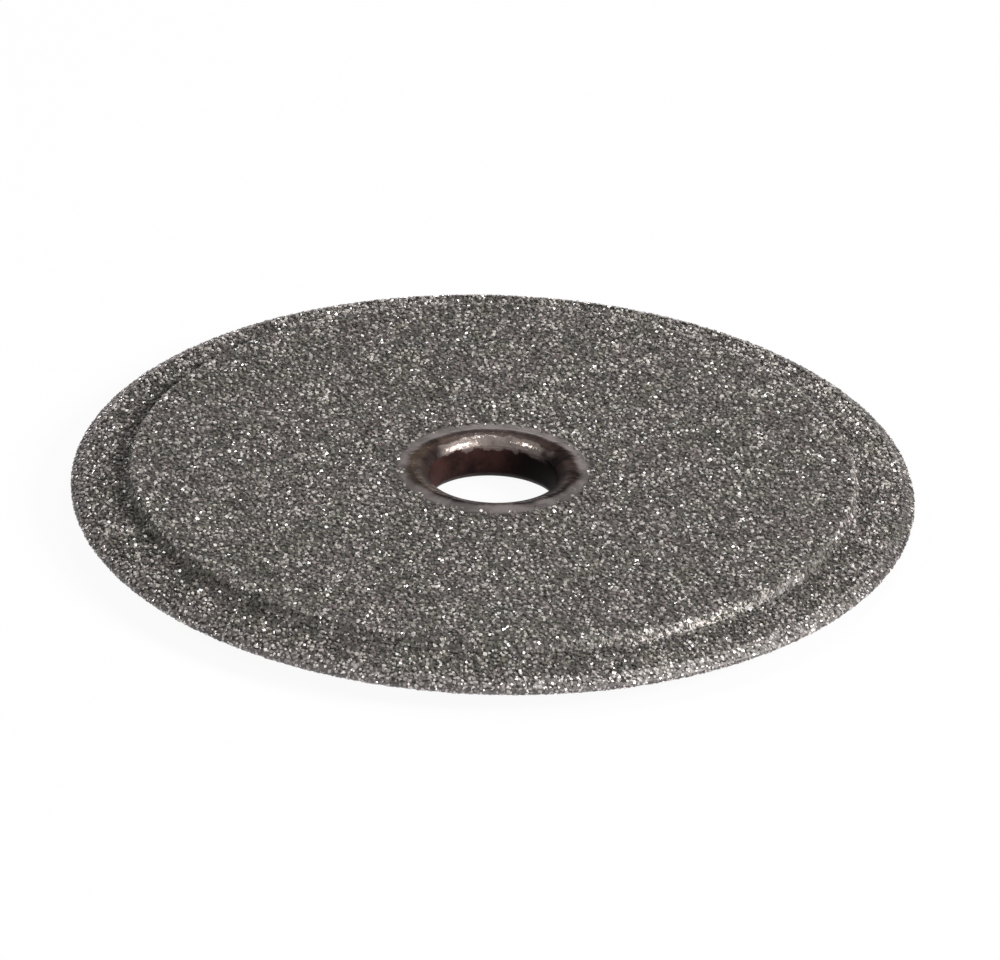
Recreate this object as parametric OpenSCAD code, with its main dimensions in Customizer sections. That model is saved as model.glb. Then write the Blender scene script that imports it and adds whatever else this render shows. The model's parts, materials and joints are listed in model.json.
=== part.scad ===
// Double-sided electroplated diamond grinding wheel.
// A turned steel core carries one skin of nickel and diamond grit on both sides and round the rim.
// The skin is built as one ring for each working surface, and the rings meet face to face.
// The origin is the centre of the bore, +Z runs along the spindle, and both sides are alike.

/* [Wheel] */
// Outer diameter over the coat
wheel_d = 40; // [24:0.5:80]
// Thickness over the coat, from face to face
wheel_t = 2.4; // [2.1:0.1:6]
// Radius of the round nose that the rim ends in
nose_r = 0.2; // [0.18:0.01:0.28]

/* [Bore] */
// Diameter of the spindle bore
bore_d = 6; // [4:0.1:12]
// Width of the rounded lip at each end of the bore, from the bore's wall to the flat
lip_w = 0.9; // [0.5:0.05:1.2]
// Depth of that lip in the steel
lip_h = 0.5; // [0.3:0.05:0.7]

/* [Step and bevel] */
// Width of the lower border outside the raised face, from the face's edge to the rim
border_w = 2.9; // [2.2:0.1:4]
// Width of the sloping step between the raised face and the shoulder
step_run = 0.27; // [0.1:0.01:0.6]
// Depth of the shoulder below the raised face at the step's foot
step_h = 0.51; // [0.35:0.01:0.56]
// Height that the shoulder loses on its way out to the bevel
shoulder_fall = 0.25; // [0:0.01:0.3]
// Width of the rim bevel, from the shoulder's end to the outside
bevel_w = 0.66; // [0.5:0.02:1]
// Radius of the raised face's outer edge
edge_r = 0.22; // [0.2:0.01:0.35]
// Radius of the fillet in the step's foot
foot_r = 0.2; // [0.05:0.01:0.3]
// Radius of the blend from the shoulder to the bevel
blend_r = 0.3; // [0.2:0.01:0.5]

/* [Coat] */
// Height of the coat, from the core to the tips of the grit
coat_t = 0.15; // [0.08:0.01:0.17]
// Height of the smooth nickel margin that surrounds each end of the bore
margin_t = 0.14; // [0.05:0.01:0.2]
// Width of that margin's flat part, from the lip to the grit
margin_w = 0.75; // [0.3:0.05:1]
// How far the margin runs down the lip, as a turn from the flat at 0 to the bore's wall at 90
margin_turn = 70; // [40:1:80]

/* [Hidden] */

// Facets of a full turn in the preview, and straight pieces of each rounded corner and of the
// lip under its margin
$fn = 120;
corner_steps = 6;
lip_steps = 8;

wheel_r = wheel_d / 2;
bore_r = bore_d / 2;
face_z = wheel_t / 2;
core_face_z = face_z - coat_t;
throat_z = core_face_z - lip_h;
lip_outer_r = bore_r + lip_w;
margin_outer_r = lip_outer_r + margin_w;
nose_centre = [wheel_r - nose_r, 0];

// Sharp corners of the coated outline in the plane of radius and height
face_corner = [wheel_r - border_w, face_z];
foot_corner = face_corner + [step_run, -step_h];
bevel_corner = [wheel_r - bevel_w, foot_corner[1] - shoulder_fall];

// Slopes of the four surfaces, as the tilt of the outward normal from +Z towards the rim
face_tilt = 0;
step_tilt = atan2(step_h, step_run);
shoulder_tilt = atan2(shoulder_fall, bevel_corner[0] - foot_corner[0]);
to_nose = nose_centre - bevel_corner;
bevel_tilt = atan2(-to_nose[1], to_nose[0]) - asin(nose_r / norm(to_nose));

// Unit vector at a tilt from +Z towards the rim
function at_tilt(tilt) = [sin(tilt), cos(tilt)];

// Centre of the circle of radius r that rounds a corner between two tilts, r < 0 for an inner corner
function round_centre(corner, tilt_a, tilt_b, r) =
    let (a = at_tilt(tilt_a), b = at_tilt(tilt_b))
    corner - r * (a + b) / (1 + a * b);

face_edge_centre = round_centre(face_corner, face_tilt, step_tilt, edge_r);
foot_centre = round_centre(foot_corner, step_tilt, shoulder_tilt, -foot_r);
blend_centre = round_centre(bevel_corner, shoulder_tilt, bevel_tilt, blend_r);

// Points of an arc whose outward normal turns from one tilt to the other
function arc(centre, r, tilt_a, tilt_b) = [
    for (i = [0 : corner_steps])
        centre + r * at_tilt(tilt_a + (tilt_b - tilt_a) * i / corner_steps)
];

// Points down the bore's lip, from the flat towards the margin's end, under a layer of nickel that
// thins out towards the bore's wall.
function lip_line(layer, steps) = [
    for (i = [0 : steps])
        let (turn = margin_turn * i / lip_steps)
        [lip_outer_r - lip_w * sin(turn), throat_z + (lip_h + layer) * cos(turn)]
];

// Each function below gives one surface's line at a depth under the coated outline.
// A line ends in the middle of the rounded corner that it shares with the next surface.
face_edge_mid = (face_tilt + step_tilt) / 2;
foot_mid = (step_tilt + shoulder_tilt) / 2;
blend_mid = (shoulder_tilt + bevel_tilt) / 2;

function face_line(depth) = concat(
    [[margin_outer_r, face_z - depth]],
    arc(face_edge_centre, edge_r - depth, face_tilt, face_edge_mid)
);

function step_line(depth) = concat(
    arc(face_edge_centre, edge_r - depth, face_edge_mid, step_tilt),
    arc(foot_centre, -foot_r - depth, step_tilt, foot_mid)
);

function shoulder_line(depth) = concat(
    arc(foot_centre, -foot_r - depth, foot_mid, shoulder_tilt),
    arc(blend_centre, blend_r - depth, shoulder_tilt, blend_mid)
);

function bevel_line(depth) = concat(
    arc(blend_centre, blend_r - depth, blend_mid, bevel_tilt),
    [nose_centre + (nose_r - depth) * at_tilt(bevel_tilt)]
);

function rim_line(depth) = arc(nose_centre, nose_r - depth, bevel_tilt, 180 - bevel_tilt);

function reversed(line) = [for (i = [len(line) - 1 : -1 : 0]) line[i]];
function mirrored(line) = [for (p = reversed(line)) [p[0], -p[1]]];

// Upper half of the core's section, from the bore wall up over the lip and out to the rim
core_upper_line = concat(
    [[bore_r, throat_z]],
    reversed(lip_line(0, lip_steps)),
    face_line(coat_t),
    step_line(coat_t),
    shoulder_line(coat_t),
    bevel_line(coat_t)
);

module steel_core() {
    color("#6b5650")
        rotate_extrude()
            polygon(concat(core_upper_line, rim_line(coat_t), mirrored(core_upper_line)));
}

// A ring of coat between a surface's line and the same line at the core
module coat_ring(outer_line, core_line) {
    color("#6b6763")
        rotate_extrude()
            polygon(concat(outer_line, reversed(core_line)));
}

// The smooth plated margin round the bore's upper end, which runs down the lip to a feather edge
module margin_ring() {
    color("#8a8283")
        rotate_extrude()
            polygon(concat(
                lip_line(0, lip_steps),
                reversed(lip_line(margin_t, lip_steps - 1)),
                [[margin_outer_r, core_face_z + margin_t], [margin_outer_r, core_face_z]]
            ));
}

module face_coat() {
    coat_ring(face_line(0), face_line(coat_t));
}

module step_coat() {
    coat_ring(step_line(0), step_line(coat_t));
}

module shoulder_coat() {
    coat_ring(shoulder_line(0), shoulder_line(coat_t));
}

module bevel_coat() {
    coat_ring(bevel_line(0), bevel_line(coat_t));
}

module rim_coat() {
    coat_ring(rim_line(0), rim_line(coat_t));
}

// The same ring on the wheel's lower side
module lower() {
    mirror([0, 0, 1])
        children();
}

steel_core();
margin_ring();  // upper_margin_ring
face_coat();  // upper_face_coat
step_coat();  // upper_step_coat
shoulder_coat();  // upper_shoulder_coat
bevel_coat();  // upper_bevel_coat
rim_coat();
lower() bevel_coat();  // lower_bevel_coat
lower() shoulder_coat();  // lower_shoulder_coat
lower() step_coat();  // lower_step_coat
lower() face_coat();  // lower_face_coat
lower() margin_ring();  // lower_margin_ring
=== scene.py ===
import json
import math

import bpy
import numpy as np
from mathutils import Matrix, Vector, noise


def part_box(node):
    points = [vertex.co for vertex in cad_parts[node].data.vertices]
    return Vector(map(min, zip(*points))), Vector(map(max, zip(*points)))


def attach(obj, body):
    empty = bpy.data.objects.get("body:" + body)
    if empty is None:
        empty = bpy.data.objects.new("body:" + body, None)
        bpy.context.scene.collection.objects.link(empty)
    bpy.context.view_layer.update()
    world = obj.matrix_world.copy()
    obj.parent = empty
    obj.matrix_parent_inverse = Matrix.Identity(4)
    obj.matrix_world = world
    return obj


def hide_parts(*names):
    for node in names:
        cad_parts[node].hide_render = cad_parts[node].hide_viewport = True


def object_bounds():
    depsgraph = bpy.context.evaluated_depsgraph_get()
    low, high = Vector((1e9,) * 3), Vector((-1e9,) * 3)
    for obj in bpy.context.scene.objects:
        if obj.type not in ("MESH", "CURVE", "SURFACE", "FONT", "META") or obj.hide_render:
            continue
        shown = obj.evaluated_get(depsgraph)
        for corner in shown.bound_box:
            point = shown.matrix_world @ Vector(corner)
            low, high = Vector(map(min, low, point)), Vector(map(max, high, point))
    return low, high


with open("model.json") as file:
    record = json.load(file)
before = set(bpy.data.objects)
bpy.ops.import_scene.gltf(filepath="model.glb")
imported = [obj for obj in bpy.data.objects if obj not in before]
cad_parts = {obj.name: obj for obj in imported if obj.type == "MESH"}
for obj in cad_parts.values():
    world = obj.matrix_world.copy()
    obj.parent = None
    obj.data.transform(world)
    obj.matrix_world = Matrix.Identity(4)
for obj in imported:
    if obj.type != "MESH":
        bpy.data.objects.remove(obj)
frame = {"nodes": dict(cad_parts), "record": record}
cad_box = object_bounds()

# ---------------------------------------------------------------- sizes, in metres
# As the camera sees the wheel, +X is to the right, +Y is away and +Z is up
MM = 0.001
bore_mount = next(m for m in frame["record"]["mounts"] if m["name"] == "bore")
bore_r = bore_mount["dims"]["r_mm"] * MM
throat_half = bore_mount["dims"]["length_mm"] * MM / 2
wheel_r = cad_box[1].x
face_z = cad_box[1].z
core_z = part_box("steel_core")[1].z
coat_t = face_z - core_z
margin_outer_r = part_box("upper_margin_ring")[1].x

# Lengths this small don't count
TOLERANCE = 0.001 * MM

# Straight pieces of a full turn, and the angle up to which an edge looks smooth
LATHE_STEPS = 360
SMOOTH_ANGLE = math.radians(35)

# The skin's rings in order from the bore's upper end, round the rim, to its lower end
SURFACES = ["face_coat", "step_coat", "shoulder_coat", "bevel_coat"]
SKIN = ["upper_" + s for s in SURFACES] + ["rim_coat"] + ["lower_" + s for s in reversed(SURFACES)]

# The grit of each working surface: distance between neighbours, usual width, height as a share of the
# width, how deep the nickel lies under the tips, how far the lowest tips are sunk, how far most grains
# lean, in degrees, the share of grains that are plated over, and how widely the others spread over the
# finishes from dark to bright
GRIT = {
    "face": {
        "pitch": 0.215 * MM, "width": 0.185 * MM, "height": 0.95, "bond_depth": 0.085 * MM,
        "sunk": 0.045 * MM, "lean": 16, "plated": 0.0, "spread": 1.0,
    },
    "shoulder": {
        "pitch": 0.195 * MM, "width": 0.165 * MM, "height": 1.05, "bond_depth": 0.115 * MM,
        "sunk": 0.055 * MM, "lean": 18, "plated": 0.0, "spread": 1.38,
    },
    "step": {
        "pitch": 0.19 * MM, "width": 0.18 * MM, "height": 0.9, "bond_depth": 0.08 * MM,
        "sunk": 0.04 * MM, "lean": 30, "plated": 0.0, "spread": 1.0,
    },
    "bevel": {
        "pitch": 0.2 * MM, "width": 0.175 * MM, "height": 0.55, "bond_depth": 0.05 * MM,
        "sunk": 0.03 * MM, "lean": 14, "plated": 0.9, "spread": 1.0,
    },
    "rim": {
        "pitch": 0.2 * MM, "width": 0.15 * MM, "height": 0.75, "bond_depth": 0.05 * MM,
        "sunk": 0.04 * MM, "lean": 14, "plated": 0.3, "spread": 1.0,
    },
}
MAX_PIECE_GRAINS = 10000

# Each ring has random draws of its own, from this seed on
FIRST_SEED = 100

# Some grains lie loose: how far most of them lean, in degrees, and their share
LOOSE_LEAN = 40
LOOSE_SHARE = 0.25

# Grains differ in size, as shares of the usual width, and each is stretched along its three axes.
# More of them stand high than low.
SIZE_SCATTER = 0.2
SIZE_RANGE = (0.55, 1.4)
STRETCH_RANGE = (0.82, 1.18)
SUNK_POWER = 1.2

# The fringe of thinning grit that strays over the smooth margin, over how many of its widths it
# thins, how steeply, and how finely its clumps vary
FRINGE_W = 0.5 * MM
FRINGE_SPREAD = 1.2
FRINGE_POWER = 1.5
FRINGE_CLUMPS = 12

# A bare grain's finish follows from its draw, from 0 for dark to 1 for bright: where dark, smoke,
# olive or mauve, and clear end. The draw drifts a little from place to place, in a pattern of its own.
DARK_END, SMOKE_END, COLOURED_END, CLEAR_END = 0.2, 0.45, 0.74, 0.92
DRIFT = 0.3
DRIFT_SCALE = 900
DRIFT_OFFSET = Vector((7, 3, 1))
OLIVE_SCALE = 420

# Painted shade on the shoulder beside the step's foot, where the step's shadow falls: how far out its
# middle lies, how far it reaches from there, and how much it lowers a grain's draw
FOOT_SHADE_OUT = 0.35 * MM
FOOT_SHADE_REACH = 0.45 * MM
FOOT_SHADE_SHIFT = 0.32

# The side of the wheel on which the rim gets painted shade, with darker nickel and fewer plated grains, as
# a direction from its centre, how far towards it the painted shade starts and is full, as shares of the
# wheel's radius, and the share of the plated grains that are left bare there to dim the rim
SHADED_SIDE = (math.cos(math.radians(20)), math.sin(math.radians(20)))
SHADED_SIDE_FROM, SHADED_SIDE_FULL = 0.5, 0.9
SHADED_SIDE_BARE_SHARE = 0.85

# Along the margin's flat, the share that stays at full height before it slopes down to the grit
MARGIN_SHELF = 0.35
# In the bore the margin ends raggedly: by how much its turn down the lip varies, as a share, how
# coarsely and finely it does, and the furthest turn
RAGGED_SHARE = 0.1
RAGGED_SCALES = (3, 25)
MARGIN_MAX_TURN = math.radians(86)


# ---------------------------------------------------------------- sections of the turned nodes
def section_of(node):
    """The closed outline of a turned CAD node: its corners' radius and height, in order."""
    mesh = frame["nodes"][node].data
    places = np.empty(len(mesh.vertices) * 3, np.float32)
    mesh.vertices.foreach_get("co", places)
    places = places.reshape(-1, 3).astype(float)
    points = np.stack([np.hypot(places[:, 0], places[:, 1]), places[:, 2]], 1)
    rough, first = np.unique(np.round(points / TOLERANCE), axis=0, return_inverse=True)
    corners, corner_of_rough = [], []
    for spot in rough * TOLERANCE:
        near = [j for j, c in enumerate(corners) if abs(c - spot).max() < 1.5 * TOLERANCE]
        corner_of_rough.append(near[0] if near else len(corners))
        if not near:
            corners.append(spot)
    corner_of = np.array(corner_of_rough)[first.ravel()]
    beside = {j: set() for j in range(len(corners))}
    for edge in mesh.edges:
        a, b = (int(corner_of[v]) for v in edge.vertices)
        if a != b:
            beside[a].add(b)
            beside[b].add(a)
    order, last, here = [0], None, 0
    while True:
        last, here = here, next(j for j in sorted(beside[here]) if j != last)
        if here == 0:
            return np.array([corners[j] for j in order])
        order.append(here)


def distance_to(outline, points):
    """Each point's distance to a closed outline."""
    a, b = outline, np.roll(outline, -1, axis=0)
    along = ((points[:, None] - a) * (b - a)).sum(2) / ((b - a) ** 2).sum(1)
    foot = a + along.clip(0, 1)[:, :, None] * (b - a)
    return np.linalg.norm(points[:, None] - foot, axis=2).min(1)


def outer_line(node, core):
    """A coat ring's outside, from the end nearer the upper bore to the other end."""
    section = section_of(node)
    outside = distance_to(core, section) > coat_t / 2
    start = next(i for i in range(len(section)) if outside[i] and not outside[i - 1])
    line = np.roll(section, -start, axis=0)[: outside.sum()]
    if node == "rim_coat":
        return line if line[0, 1] > 0 else line[::-1]
    outwards = line[0, 0] < line[-1, 0]
    return line if outwards == node.startswith("upper") else line[::-1]


def skin_lines(core):
    """For each ring of the skin: the points of its outside, and the outward normal at each."""
    lines = [outer_line(node, core) for node in SKIN]
    whole = np.concatenate([lines[0][:1]] + [line[1:] for line in lines])
    along = np.diff(whole, axis=0)
    across = np.stack([-along[:, 1], along[:, 0]], 1) / np.linalg.norm(along, axis=1)[:, None]
    normals = np.concatenate([across[:1], across[:-1] + across[1:], across[-1:]])
    normals /= np.linalg.norm(normals, axis=1)[:, None]
    found, first = {}, 0
    for node, line in zip(SKIN, lines):
        found[node] = (line, normals[first : first + len(line)])
        first += len(line) - 1
    return found


# ---------------------------------------------------------------- pieces turned on a lathe
def turned(name, outline):
    """A closed piece of revolution: its section is drawn point by point and spun about Z."""
    bpy.ops.object.select_all(action="DESELECT")
    bpy.ops.mesh.primitive_plane_add(size=MM, location=(outline[0][0], 0, outline[0][1]))
    piece = bpy.context.object
    piece.name = piece.data.name = name
    bpy.ops.object.transform_apply(location=True)
    bpy.ops.object.mode_set(mode="EDIT")
    bpy.ops.mesh.select_all(action="SELECT")
    bpy.ops.mesh.merge(type="CENTER")
    for run, rise in np.diff(np.append(outline, outline[:1], axis=0), axis=0):
        bpy.ops.mesh.extrude_vertices_move(TRANSFORM_OT_translate={"value": (run, 0, rise)})
    bpy.ops.mesh.select_all(action="SELECT")
    bpy.ops.mesh.remove_doubles(threshold=TOLERANCE / 10)
    bpy.ops.mesh.spin(steps=LATHE_STEPS, angle=math.tau, center=(0, 0, 0), axis=(0, 0, 1))
    bpy.ops.mesh.select_all(action="SELECT")
    bpy.ops.mesh.remove_doubles(threshold=TOLERANCE / 10)
    bpy.ops.mesh.normals_make_consistent(inside=False)
    bpy.ops.object.mode_set(mode="OBJECT")
    bpy.ops.object.shade_smooth_by_angle(angle=SMOOTH_ANGLE)
    return piece


def place(piece, node, materials):
    """Gives a finished piece its materials, and makes it stand for its CAD node."""
    for material in materials:
        piece.data.materials.append(material)
    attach(piece, "root")
    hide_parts(node)


# ---------------------------------------------------------------- shader tools
class Value:
    """A number, a colour or a place in a material's nodes, on which + - * and / add Math nodes."""

    def __init__(self, tree, socket):
        self.tree, self.socket = tree, socket

    def node(self, kind, output=0, settings=None, **inputs):
        """Adds a node. Its settings go first, then inputs by name, with _ for a space, or by _0, _1."""
        made = self.tree.nodes.new(kind)
        for key, setting in (settings or {}).items():
            setattr(made, key, setting)
        for key, value in inputs.items():
            socket = made.inputs[int(key[1:]) if key[0] == "_" else key.replace("_", " ")]
            if isinstance(value, Value):
                self.tree.links.new(value.socket, socket)
            else:
                socket.default_value = value
        return Value(self.tree, made.outputs[output])

    def math(self, operation, *values):
        inputs = {f"_{i}": value for i, value in enumerate(values)}
        return self.node("ShaderNodeMath", settings={"operation": operation}, **inputs)

    def __add__(self, other):
        return self.math("ADD", self, other)

    def __sub__(self, other):
        return self.math("SUBTRACT", self, other)

    def __rsub__(self, other):
        return self.math("SUBTRACT", other, self)

    def __mul__(self, other):
        return self.math("MULTIPLY", self, other)

    def __truediv__(self, other):
        return self.math("DIVIDE", self, other)

    __radd__, __rmul__ = __add__, __mul__

    def ramp(self, low, high, to_low=0.0, to_high=1.0):
        """This number taken from the range low to high to another range, smoothly and clamped."""
        return self.node(
            "ShaderNodeMapRange", settings={"interpolation_type": "SMOOTHSTEP"},
            Value=self, From_Min=low, From_Max=high, To_Min=to_low, To_Max=to_high,
        )

    def between(self, first, second):
        """The colour that lies this share of the way from one colour to another."""
        return self.node(
            "ShaderNodeMix", output=2, settings={"data_type": "RGBA"}, _0=self, _6=first, _7=second
        )

    def mix(self, other, share):
        """This colour with a share of another one."""
        return share.between(self, other)

    def coordinate(self, axis):
        """This place's X, Y or Z, for 0, 1 or 2."""
        return self.node("ShaderNodeSeparateXYZ", output=axis, Vector=self)

    def mottle(self, scale, detail=2.0):
        """A soft random pattern at this place, from 0 to 1."""
        return self.node("ShaderNodeTexNoise", Vector=self, Scale=scale, Detail=detail)

    def bump(self, strength, distance):
        """The surface's direction with this number as its relief."""
        return self.node("ShaderNodeBump", Strength=strength, Distance=distance, Height=self)


def rgb(red, green, blue):
    """A colour from 0 to 255 on each channel, as the eye reads it, in the renderer's linear values."""
    shares = [c / 255 for c in (red, green, blue)]
    linear = [((c + 0.055) / 1.055) ** 2.4 if c > 0.04 else c / 12.92 for c in shares]
    return (*linear, 1.0)


def new_material(name):
    """An empty material: itself, its place on the piece as a value, and its Principled shader."""
    made = bpy.data.materials.new(name)
    made.use_nodes = True
    tree = made.node_tree
    shader = tree.nodes["Principled BSDF"]
    where = Value(tree, None).node("ShaderNodeTexCoord", output="Object")
    return made, where, shader


def distance_from_axis(where):
    """How far a place lies from the wheel's axis."""
    flat = where.node("ShaderNodeVectorMath", settings={"operation": "MULTIPLY"}, _0=where, _1=(1, 1, 0))
    return where.node("ShaderNodeVectorMath", output=1, settings={"operation": "LENGTH"}, _0=flat)


def feed(shader, **inputs):
    """Sets or links a shader's inputs by name, with _ for a space."""
    for key, value in inputs.items():
        socket = shader.inputs[key.replace("_", " ")]
        if isinstance(value, Value):
            value.tree.links.new(value.socket, socket)
        else:
            socket.default_value = value


# ---------------------------------------------------------------- materials
def bond_material():
    """Satin nickel between the grains, faintly mottled, with dark hollows and a pebbled skin."""
    made, where, shader = new_material("nickel_bond")
    patches = where.mottle(420.0)
    specks = where.mottle(5200.0)
    pebbles = where.node("ShaderNodeTexVoronoi", Vector=where, Scale=6500.0)
    nickel = patches.ramp(0.4, 0.6).between(rgb(132, 129, 123), rgb(134, 128, 125))
    colour = nickel.mix(rgb(71, 69, 65), specks.ramp(0.46, 0.6))
    feed(shader, Base_Color=colour, Metallic=1.0, Roughness=specks.ramp(0.3, 0.7, 0.45, 0.62),
         Normal=(pebbles + specks).bump(0.8, 0.02 * MM))
    return made


def rim_material():
    """Smooth satin nickel between the rim's fine grains, darkened towards one side as painted shade."""
    made, where, shader = new_material("rim_nickel")
    clouds = where.mottle(500.0)
    fine = where.mottle(7000.0, 3.0)
    nickel = (clouds * 0.5 + fine * 0.5).ramp(0.35, 0.65).between(rgb(94, 90, 90), rgb(134, 129, 128))
    towards_shaded_side = where.coordinate(0) * SHADED_SIDE[0] + where.coordinate(1) * SHADED_SIDE[1]
    # Painted shade: the nickel darkens towards one side of the wheel
    colour = nickel.mix(rgb(84, 80, 80), (towards_shaded_side / wheel_r).ramp(SHADED_SIDE_FROM, SHADED_SIDE_FULL))
    feed(shader, Base_Color=colour, Metallic=1.0, Roughness=fine.ramp(0.3, 0.7, 0.5, 0.66),
         Normal=fine.bump(0.6, 0.015 * MM))
    return made


# The margin's finish changes with the distance from the axis, and these are the distances.
# The stain's ragged outer edge, and how much further out it lies at the sides
STAIN_R = bore_r + 0.85 * MM
STAIN_SIDE_REACH = 0.3 * MM
# Where the stain starts to get deeper, and where it is deepest
DEEP_STAIN = (bore_r + 0.7 * MM, bore_r + 0.2 * MM)
# Where the gold tint starts, and where it is full
GOLD = (bore_r + 0.4 * MM, bore_r + 0.8 * MM)
# Where the bare plating low on the lip ends
BARE_R = bore_r + 0.38 * MM
# Where the lip starts to get dull, and where it is dull
DULL = (bore_r + 0.75 * MM, bore_r + 0.35 * MM)
# Where the border to the grit starts to get darker, and where it is darkest
DARK_BORDER = (margin_outer_r - 0.2 * MM, margin_outer_r)
# Heights between which the far side's painted sheen and the bare plating set in, so the lower lip has
# neither
UPPER_LIP = (0, 0.2 * MM)


def margin_material():
    """Mauve satin nickel on the flat. The lip is stained brown, deeper towards the bore, with a gold
    tint on the left, a lighter grey on the far side as painted sheen, and bright bare nickel low on the far
    and near lip."""
    made, where, shader = new_material("margin_nickel")
    radius = distance_from_axis(where)
    place_x, place_y, place_z = (where.coordinate(axis) for axis in range(3))
    upper = place_z.ramp(*UPPER_LIP)
    clouds = where.mottle(900.0, 4.0)
    fine = where.mottle(6000.0, 3.0)
    dents = where.mottle(3200.0)
    around = where.node("ShaderNodeVectorMath", settings={"operation": "DIVIDE"}, _0=where, _1=radius)
    streaks = around.mottle(5.0) * 0.5 + clouds * 0.5
    uneven = (clouds - 0.5) * (0.4 * MM) + (fine - 0.5) * (0.15 * MM) + (streaks - 0.5) * (0.3 * MM)
    ragged = radius + uneven
    sideways = (place_x * place_x) / (radius * radius)

    nickel = clouds.ramp(0.35, 0.65).between(rgb(136, 127, 126), rgb(172, 162, 160))
    stain_edge = sideways * STAIN_SIDE_REACH + STAIN_R
    stain = (stain_edge - ragged).ramp(-0.16 * MM, 0.2 * MM)
    brown = streaks.ramp(0.42, 0.58).between(rgb(38, 28, 26), rgb(82, 64, 58))
    deep = brown.mix(rgb(24, 17, 16), radius.ramp(*DEEP_STAIN, 0.0, 0.75))
    gold = (streaks * 1.5 - place_x / radius).ramp(1.2, 2.1, 0.0, 0.7) * radius.ramp(*GOLD)
    # Painted sheen: the upper lip turns a lighter grey on its far side, which faces the camera
    far_sheen = (place_y / radius).ramp(0.6, 1.0, 0.0, 0.8) * upper
    stained = nickel.mix(deep.mix(rgb(136, 116, 100), gold).mix(rgb(94, 82, 78), far_sheen), stain)
    low_down = (BARE_R - ragged).ramp(-0.05 * MM, 0.08 * MM)
    bare = low_down * (sideways + clouds).ramp(1.25, 0.65) * upper
    bright = stained.mix(rgb(184, 170, 163), bare * streaks.ramp(0.3, 0.5, 0.55, 1.0))
    colour = bright.mix(rgb(84, 78, 75), ragged.ramp(*DARK_BORDER, 0.0, 0.7))
    dull = radius.ramp(*DULL) * (1 - bare)
    feed(shader, Base_Color=colour, Metallic=dull.ramp(0, 1, 0.7, 0.1),
         Roughness=clouds.ramp(0.3, 0.7, 0.16, 0.3) + dull * 0.25, Specular_IOR_Level=0.1,
         Normal=(clouds + fine + dents * stain * 5).bump(0.6, 0.015 * MM))
    return made


# Heights between which nickel starts and is full on the bore's wall, and how unevenly it chips
PLATED_WALL = (throat_half - 0.05 * MM, throat_half + 0.17 * MM)
WALL_CHIPS = 1.1 * MM


def core_material():
    """Browned steel, with painted shade turning the bore's right nearly black, and chipped nickel high up in
    front and behind.
    """
    made, where, shader = new_material("browned_steel")
    place_x, place_z = where.coordinate(0), where.coordinate(2)
    clouds = where.mottle(500.0, 3.0)
    fine = where.mottle(5000.0, 4.0)
    chips = where.mottle(1500.0, 3.0)
    brown = (clouds * 0.8 + fine * 0.2).ramp(0.35, 0.6).between(rgb(28, 19, 19), rgb(60, 39, 36))
    # Painted shade: the wall goes nearly black towards the bore's right, which faces away from the key lamp
    right_shade = brown.mix(rgb(20, 16, 16), (place_x / bore_r).ramp(0.0, 0.6, 0.0, 0.9))
    sideways = (place_x * place_x) / (bore_r * bore_r)
    plated = (place_z + (chips - 0.5) * WALL_CHIPS).ramp(*PLATED_WALL) * sideways.ramp(0.75, 0.3)
    colour = right_shade.mix(rgb(146, 132, 128), plated)
    feed(shader, Base_Color=colour, Metallic=plated * 0.7, Roughness=plated.ramp(0, 1, 0.6, 0.22),
         Specular_IOR_Level=0.03, Normal=fine.bump(0.6, 0.01 * MM))
    return made


GRAIN_FINISHES = {
    # name: colour, metallic, roughness, index of refraction
    "grain_smoke": (rgb(107, 102, 98), 0.0, 0.32, 2.0),
    "grain_dark": (rgb(72, 68, 64), 0.0, 0.3, 2.0),
    "grain_clear": (rgb(163, 156, 149), 0.0, 0.28, 2.4),
    "grain_olive": (rgb(113, 110, 98), 0.0, 0.32, 2.0),
    "grain_mauve": (rgb(120, 109, 108), 0.0, 0.32, 2.0),
    "grain_bright": (rgb(204, 197, 189), 0.0, 0.26, 2.4),
    "grain_plated": (rgb(203, 196, 194), 1.0, 0.42, 1.5),
}


def grain_materials():
    """One plain material for each finish, since a grain is far too small to vary."""
    made = []
    for name, (colour, metallic, roughness, ior) in GRAIN_FINISHES.items():
        material, _, shader = new_material(name)
        feed(shader, Base_Color=colour, Metallic=metallic, Roughness=roughness, IOR=ior)
        made.append(material)
    return made


# ---------------------------------------------------------------- grit
# Each crystal's cuts, as a direction and a distance from its centre: the first takes the top corner
# off, the others some of the side corners
CRYSTAL_CUTS = [
    [((0, 0, 1), 0.26), ((1, 0.1, 0.2), 0.42)],
    [((0.05, 0.1, 1), 0.2)],
    [((0, 0, 1), 0.32), ((-1, 0.3, 0), 0.38)],
    [((0.1, -0.05, 1), 0.24), ((1, 1, 0), 0.34)],
    [((-0.1, 0, 1), 0.3), ((-0.2, 1, 0.1), 0.4)],
    [((0, -0.1, 1), 0.16), ((0.3, -1, 0.3), 0.4)],
]


def crystal(cuts):
    """A blocky crystal about 1 wide: an octahedron with corners cut off. Its corners and faces."""
    bpy.ops.object.select_all(action="DESELECT")
    bpy.ops.mesh.primitive_uv_sphere_add(segments=4, ring_count=2, radius=0.6)
    made = bpy.context.object
    bpy.ops.object.mode_set(mode="EDIT")
    for direction, distance in cuts:
        normal = Vector(direction).normalized()
        bpy.ops.mesh.select_all(action="SELECT")
        bpy.ops.mesh.bisect(
            plane_co=normal * distance, plane_no=normal, use_fill=True, clear_outer=True
        )
    bpy.ops.object.mode_set(mode="OBJECT")
    corners = np.array([v.co for v in made.data.vertices])
    faces = [list(p.vertices) for p in made.data.polygons]
    bpy.data.objects.remove(made)
    return corners - (corners.max(0) + corners.min(0)) / 2, faces


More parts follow.
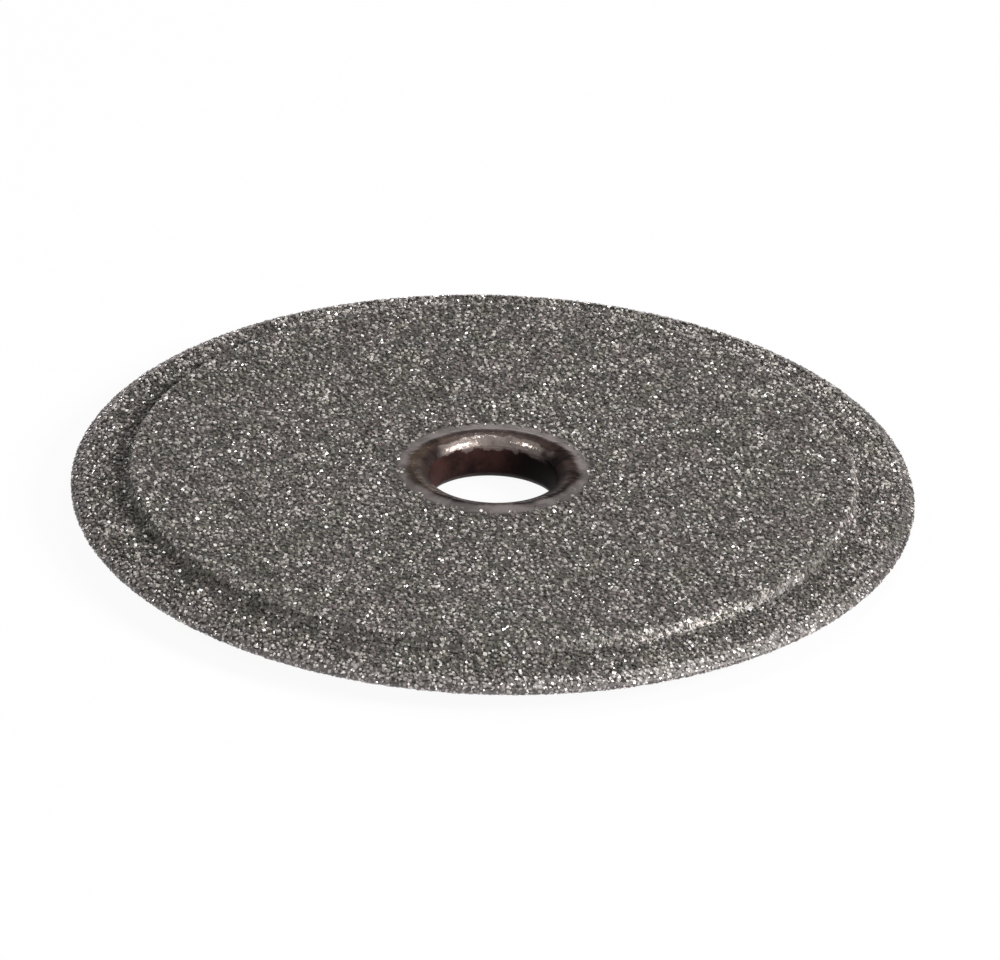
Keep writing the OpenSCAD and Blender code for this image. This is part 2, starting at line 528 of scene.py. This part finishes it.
def turned_about(axis, angles):
    """Rotation matrices about X (0) or Z (2) by many angles."""
    cos, sin, one, none = np.cos(angles), np.sin(angles), np.ones(len(angles)), np.zeros(len(angles))
    if axis == 0:
        rows = [[one, none, none], [none, cos, -sin], [none, sin, cos]]
    else:
        rows = [[cos, -sin, none], [sin, cos, none], [none, none, one]]
    return np.array(rows).transpose(2, 0, 1)


def random_turns(rng, count, usual_lean):
    """How each grain sits: any spin about its own height, then a lean to any side."""
    lean = rng.rayleigh(np.where(rng.uniform(size=count) < LOOSE_SHARE, LOOSE_LEAN, usual_lean))
    lean = np.radians(lean)
    side, spin = rng.uniform(0, math.tau, (2, count))
    return turned_about(2, side) @ turned_about(0, lean) @ turned_about(2, spin)


def scattered(rng, line, normals, pitch):
    """Spots of a loose, even scatter over a ring: radius, height, angle and normal of each."""
    lengths = np.concatenate([[0], np.cumsum(np.linalg.norm(np.diff(line, axis=0), axis=1))])
    row_gap = pitch * math.sqrt(3) / 2
    rows = max(1, round(lengths[-1] / row_gap))
    spots = []
    for row in range(rows):
        middle = (row + 0.5) * lengths[-1] / rows
        count = round(math.tau * np.interp(middle, lengths, line[:, 0]) / pitch)
        angles = (np.arange(count) + rng.uniform(-0.5, 0.5, count) + rng.uniform()) / count
        at = (middle + rng.uniform(-0.5, 0.5, count) * row_gap).clip(0, lengths[-1])
        spots.append(np.stack([
            *(np.interp(at, lengths, line[:, k]) for k in (0, 1)),
            angles * math.tau,
            *(np.interp(at, lengths, normals[:, k]) for k in (0, 1)),
        ], 1))
    return np.concatenate(spots)


def thinned_to_margin(rng, spots):
    """Drops ever more of a face's grains towards its smooth margin, over which clumps stray."""
    around = np.stack([np.cos(spots[:, 2]), np.sin(spots[:, 2]), np.sign(spots[:, 1])], 1)
    stray = np.array([noise.noise(Vector(a) * FRINGE_CLUMPS) for a in around])
    into = (spots[:, 0] - margin_outer_r + FRINGE_W) / (FRINGE_SPREAD * FRINGE_W) + stray
    return spots[rng.uniform(size=len(spots)) < into.clip(0, 1) ** FRINGE_POWER]


def tints(rng, places, grit, foot_r):
    """Which finish each grain has, as its number in GRAIN_FINISHES. A share is plated, less of it towards
    one side as painted shade. The others run from dark to bright by their draw, which painted shade beside
    the step's foot lowers, with olive and mauve in patches."""
    patch = np.array([noise.noise(Vector(p) * OLIVE_SCALE) for p in places])
    drift = np.array([noise.noise(Vector(p) * DRIFT_SCALE + DRIFT_OFFSET) for p in places])
    # Painted shade: grains beside the step's foot draw darker finishes, as in the step's shadow
    from_residue = np.abs(np.hypot(places[:, 0], places[:, 1]) - foot_r - FOOT_SHADE_OUT)
    residue = FOOT_SHADE_SHIFT * (1 - from_residue / FOOT_SHADE_REACH).clip(0, 1)
    draw = 0.5 + (rng.uniform(size=len(places)) - 0.5) * grit["spread"] + DRIFT * drift - residue
    number = {name: i for i, name in enumerate(GRAIN_FINISHES)}
    coloured = np.where(patch > 0, number["grain_olive"], number["grain_mauve"])
    bare = np.select(
        [draw < DARK_END, draw < SMOKE_END, draw < COLOURED_END, draw < CLEAR_END],
        [number["grain_dark"], number["grain_smoke"], coloured, number["grain_clear"]],
        number["grain_bright"],
    )
    # Painted shade: towards one side of the wheel fewer grains stay plated, which dims the rim's shine there
    towards_shaded_side = places[:, :2] @ SHADED_SIDE / wheel_r
    side_shade = ((towards_shaded_side - SHADED_SIDE_FROM) / (SHADED_SIDE_FULL - SHADED_SIDE_FROM)).clip(0, 1)
    plated_here = grit["plated"] * (1 - SHADED_SIDE_BARE_SHARE * side_shade)
    return np.where(rng.uniform(size=len(places)) < plated_here, number["grain_plated"], bare)


def faceted_piece(name, corners, loops, totals):
    """A piece made from its corners and from its faces, as the corners in order and how many each has."""
    mesh = bpy.data.meshes.new(name)
    mesh.vertices.add(len(corners))
    mesh.vertices.foreach_set("co", corners.astype(np.float32).ravel())
    mesh.loops.add(len(loops))
    mesh.loops.foreach_set("vertex_index", loops.astype(np.int32))
    mesh.polygons.add(len(totals))
    starts = np.concatenate([[0], np.cumsum(totals)[:-1]])
    mesh.polygons.foreach_set("loop_start", starts.astype(np.int32))
    mesh.update(calc_edges=True)
    piece = bpy.data.objects.new(name, mesh)
    bpy.context.scene.collection.objects.link(piece)
    return piece


def grit_piece(name, node, spots, grit, rng, crystals, materials, foot_r):
    """One mesh of separate faceted grains, each with its highest corner just under the coat's top."""
    count = len(spots)
    radius, height, angle, normal_r, normal_z = spots.T
    cos, sin = np.cos(angle), np.sin(angle)
    out = np.stack([normal_r * cos, normal_r * sin, normal_z], 1)
    round_about = np.stack([-sin, cos, np.zeros(count)], 1)
    frames = np.stack([np.cross(round_about, out), round_about, out], 2)
    size = grit["width"] * rng.normal(1, SIZE_SCATTER, count).clip(*SIZE_RANGE)
    stretch = rng.uniform(*STRETCH_RANGE, (count, 1, 3))
    turns = random_turns(rng, count, grit["lean"])
    sunk = grit["sunk"] * rng.uniform(0, 1, count) ** SUNK_POWER
    kinds = rng.integers(len(crystals), size=count)
    centres = np.stack([radius * cos, radius * sin, height], 1)
    tint = tints(rng, centres, grit, foot_r)
    corners, loops, totals, slots = [], [], [], []
    corners_before = 0
    for kind, (shape, faces) in enumerate(crystals):
        mine = np.flatnonzero(kinds == kind)
        local = np.einsum("nij,nkj->nki", turns[mine], shape * stretch[mine]) * size[mine, None, None]
        local[:, :, 2] *= grit["height"]
        local[:, :, 2] -= (local[:, :, 2].max(1) + sunk[mine])[:, None]
        placed = centres[mine][:, None] + np.einsum("nij,nkj->nki", frames[mine], local)
        proud = (np.abs(placed[:, :, 2]).max(1) - face_z).clip(0, None)
        placed[:, :, 2] -= np.sign(height[mine])[:, None] * proud[:, None]
        corners.append(placed.reshape(-1, 3))
        first_corners = np.arange(len(mine))[:, None] * len(shape) + corners_before
        loops.append((first_corners + np.concatenate(faces)).ravel())
        totals.append(np.tile([len(f) for f in faces], len(mine)))
        slots.append(np.repeat(tint[mine], len(faces)))
        corners_before += len(mine) * len(shape)
    corners, loops, totals, slots = (np.concatenate(part) for part in (corners, loops, totals, slots))
    piece = faceted_piece(name, corners, loops, totals)
    place(piece, node, materials)
    piece.data.polygons.foreach_set("material_index", slots.astype(np.int32))
    piece.data.polygons.foreach_set("use_smooth", np.zeros(len(totals), bool))
    piece.data.update()


# ---------------------------------------------------------------- the wheel
def build_core(core, material):
    """The turned steel core, from its CAD section."""
    place(turned("wheel_core", core), "steel_core", [material])


def end_raggedly(piece, lip_outer_r, sign):
    """Moves a margin's rings of corners on the lip further down or less far, unevenly round the bore."""
    lip_w = lip_outer_r - bore_r
    for v in piece.data.vertices:
        radius, angle = math.hypot(v.co.x, v.co.y), math.atan2(v.co.y, v.co.x)
        if radius < lip_outer_r - TOLERANCE:
            turn = math.asin((lip_outer_r - radius) / lip_w)
            around = Vector((math.cos(angle), math.sin(angle), sign))
            ragged = 1 + sum(RAGGED_SHARE * noise.noise(around * scale) for scale in RAGGED_SCALES)
            new_turn = min(turn * ragged, MARGIN_MAX_TURN)
            new_radius = lip_outer_r - lip_w * math.sin(new_turn)
            rise = (abs(v.co.z) - throat_half) / math.cos(turn)
            v.co = (new_radius * math.cos(angle), new_radius * math.sin(angle),
                    sign * (throat_half + rise * math.cos(new_turn)))


def build_margins(material):
    """The smooth nickel rings, which slope down to the grit's own nickel and end raggedly in the bore."""
    for side, sign in (("upper", 1), ("lower", -1)):
        node = side + "_margin_ring"
        section = section_of(node)
        lip_outer_r = section[np.abs(section[:, 1]) > core_z - TOLERANCE][:, 0].min()
        outer_top = int(np.argmax(section[:, 0] + np.abs(section[:, 1])))
        shelf_r = lip_outer_r + (margin_outer_r - lip_outer_r) * MARGIN_SHELF
        shelf = [shelf_r, section[outer_top, 1]]
        section[outer_top, 1] = sign * (face_z - GRIT["face"]["bond_depth"])
        from_inside = section[outer_top - 1, 0] < margin_outer_r - TOLERANCE
        after = outer_top if from_inside else outer_top + 1
        piece = turned(side + "_margin", np.insert(section, after, shelf, axis=0))
        end_raggedly(piece, lip_outer_r, sign)
        place(piece, node, [material])


def build_coat(core, bond, rim_bond, grain_finishes):
    """For each ring of the skin, a nickel bond and the grains that stand out of it."""
    crystals = [crystal(cuts) for cuts in CRYSTAL_CUTS]
    lines = skin_lines(core)
    foot_r = lines["upper_shoulder_coat"][0][:, 0].min()
    for number, (node, (line, normals)) in enumerate(lines.items()):
        surface = node.split("_")[-2]
        grit = GRIT[surface]
        slot = "rim_coat" if surface == "rim" else "diamond_coat"
        bottom = line - normals * coat_t
        top = line - normals * grit["bond_depth"]
        piece = turned(node.replace("coat", "bond"), np.concatenate([top, bottom[::-1]]))
        place(piece, node, [rim_bond if surface == "rim" else bond])
        rng = np.random.default_rng(FIRST_SEED + number)
        if surface == "face":
            line = line.copy()
            line[int(np.argmin(line[:, 0])), 0] -= FRINGE_W
        spots = scattered(rng, line, normals, grit["pitch"])
        if surface == "face":
            spots = thinned_to_margin(rng, spots)
        parts = math.ceil(len(spots) / MAX_PIECE_GRAINS)
        for part, share in enumerate(np.array_split(spots, parts)):
            ending = f"_{part + 1}" if parts > 1 else ""
            grit_piece(
                node.replace("coat", "grit") + ending, node,
                share, grit, rng, crystals, grain_finishes, foot_r,
            )


core_section = section_of("steel_core")
build_core(core_section, core_material())
build_margins(margin_material())
build_coat(core_section, bond_material(), rim_material(), grain_materials())


# ---------------------------------------------------------------- floor, light and camera
# How bright reflections see the room's left side, where its right side is 1. They fade to it across
# the floor, in metres, and round the walls, as a direction's share of X.
LEFT_GLOW = 0.5
LEFT_FLOOR = (-0.12, -0.03)
LEFT_WALLS = (-0.6, 0.3)
# How bright they see the ceiling, and the two elevations between which they fade to it, in degrees
CEILING_GLOW = 0.25
CEILING_RISE = (5, 22)
# How bright the room is as light, where its white backdrop is 1
AMBIENT = 0.165
# The floor's width in metres, and how much of it is lit and shaded. The rest is plain white.
FLOOR_W = 6
FLOOR_SHADE = 0.06

# Square soft lamps: azimuth and elevation in degrees, size in metres, and radiance
LAMP_DISTANCE = 0.5
LAMPS = {
    "key": (-22, 31, 0.18, 28.5),
    "high": (50, 64, 0.15, 8),
    "left": (-160, 50, 0.12, 10),
}

# Camera: elevation and roll in degrees, the wheel's radius as a share of the picture's width, and
# how far the wheel's centre lies off the picture's centre, in the same share
CAMERA_DISTANCE = 30 * wheel_r
CAMERA_ELEVATION = 27.96
CAMERA_ROLL = 1.78
WHEEL_SHARE = 0.4225
CAMERA_SHIFT = (0.0072, 0.0091)
SENSOR_W = 36


def stage_material(name):
    """Plain white that keeps a faint shadow. Reflections see it dimmer on the left. From below it
    can't be seen."""
    made, where, shader = new_material(name)
    feed(shader, Base_Color=(0.9, 0.9, 0.9, 1), Roughness=1.0, Specular_IOR_Level=0.0)
    seen = where.node("ShaderNodeLightPath", output="Is Camera Ray")
    shine = Value(seen.tree, seen.socket.node.outputs["Is Glossy Ray"])
    dimming = shine * (where.coordinate(0).ramp(*LEFT_FLOOR, LEFT_GLOW, 1.0) - 1)
    glow = where.node("ShaderNodeEmission", Color=(1, 1, 1, 1), Strength=dimming + 1)
    front = where.node("ShaderNodeMixShader", _0=(seen + shine) * (1 - FLOOR_SHADE),
                       _1=Value(seen.tree, shader.outputs[0]), _2=glow)
    below = where.node("ShaderNodeNewGeometry", output="Backfacing")
    whole = where.node("ShaderNodeMixShader", _0=below, _1=front, _2=where.node("ShaderNodeBsdfTransparent"))
    out = made.node_tree.nodes["Material Output"]
    made.node_tree.links.new(whole.socket, out.inputs["Surface"])
    return made


def build_floor():
    """A wide plane just under the wheel."""
    bpy.ops.object.select_all(action="DESELECT")
    bpy.ops.mesh.primitive_plane_add(size=FLOOR_W, location=(0, 0, cad_box[0].z - 2 * TOLERANCE))
    floor = bpy.context.object
    floor.name = "floor"
    floor.data.materials.append(stage_material("floor_white"))


def toward(azimuth, elevation):
    """A direction: azimuth from +X towards +Y, elevation above the floor, both in degrees."""
    a, e = math.radians(azimuth), math.radians(elevation)
    return Vector((math.cos(a) * math.cos(e), math.sin(a) * math.cos(e), math.sin(e)))


def build_lamp(name, azimuth, elevation, size, radiance):
    """A square soft lamp that looks at the wheel from a direction."""
    data = bpy.data.lights.new(name, "AREA")
    data.shape, data.size = "SQUARE", size
    data.energy = radiance * math.pi * size ** 2
    made = bpy.data.objects.new(name, data)
    bpy.context.scene.collection.objects.link(made)
    made.location = toward(azimuth, elevation) * LAMP_DISTANCE
    made.rotation_euler = toward(azimuth, elevation).to_track_quat("Z", "Y").to_euler()
    made.visible_camera = False


def build_world():
    """A white backdrop for the camera. As light it is softer, and reflections also see it dimmer
    overhead and on the left."""
    world = bpy.data.worlds.new("room")
    bpy.context.scene.world = world
    world.use_nodes = True
    tree = world.node_tree
    start = Value(tree, None)
    paths = start.node("ShaderNodeLightPath", output="Is Camera Ray")
    outputs = paths.socket.node.outputs
    direction = start.node("ShaderNodeTexCoord", output="Generated")
    seen = (paths + Value(tree, outputs["Is Transmission Ray"])).ramp(0, 1, AMBIENT, 1.0)
    rise = [math.sin(math.radians(elevation)) for elevation in CEILING_RISE]
    fading = direction.coordinate(2).ramp(*rise, 1.0, CEILING_GLOW)
    shine = fading * direction.coordinate(0).ramp(*LEFT_WALLS, LEFT_GLOW, 1.0) - AMBIENT
    strength = seen + Value(tree, outputs["Is Glossy Ray"]) * shine
    background = tree.nodes["Background"]
    background.inputs["Color"].default_value = (1, 1, 1, 1)
    tree.links.new(strength.socket, background.inputs["Strength"])


def build_camera():
    """A long lens on the wheel's centre from 28 degrees above, rolled a little."""
    data = bpy.data.cameras.new("camera")
    camera = bpy.data.objects.new("camera", data)
    bpy.context.scene.collection.objects.link(camera)
    back = toward(-90, CAMERA_ELEVATION)
    camera.location = back * CAMERA_DISTANCE
    aim = back.to_track_quat("Z", "Y").to_matrix().to_4x4()
    camera.rotation_euler = (aim @ Matrix.Rotation(math.radians(CAMERA_ROLL), 4, "Z")).to_euler()
    data.sensor_width = SENSOR_W
    data.lens = SENSOR_W * WHEEL_SHARE * CAMERA_DISTANCE / wheel_r
    data.shift_x, data.shift_y = CAMERA_SHIFT
    data.clip_start, data.clip_end = 0.01, 20
    bpy.context.scene.camera = camera


build_floor()
build_world()
for lamp_name, settings in LAMPS.items():
    build_lamp(lamp_name, *settings)
build_camera()
bpy.context.scene.view_settings.view_transform = "Standard"
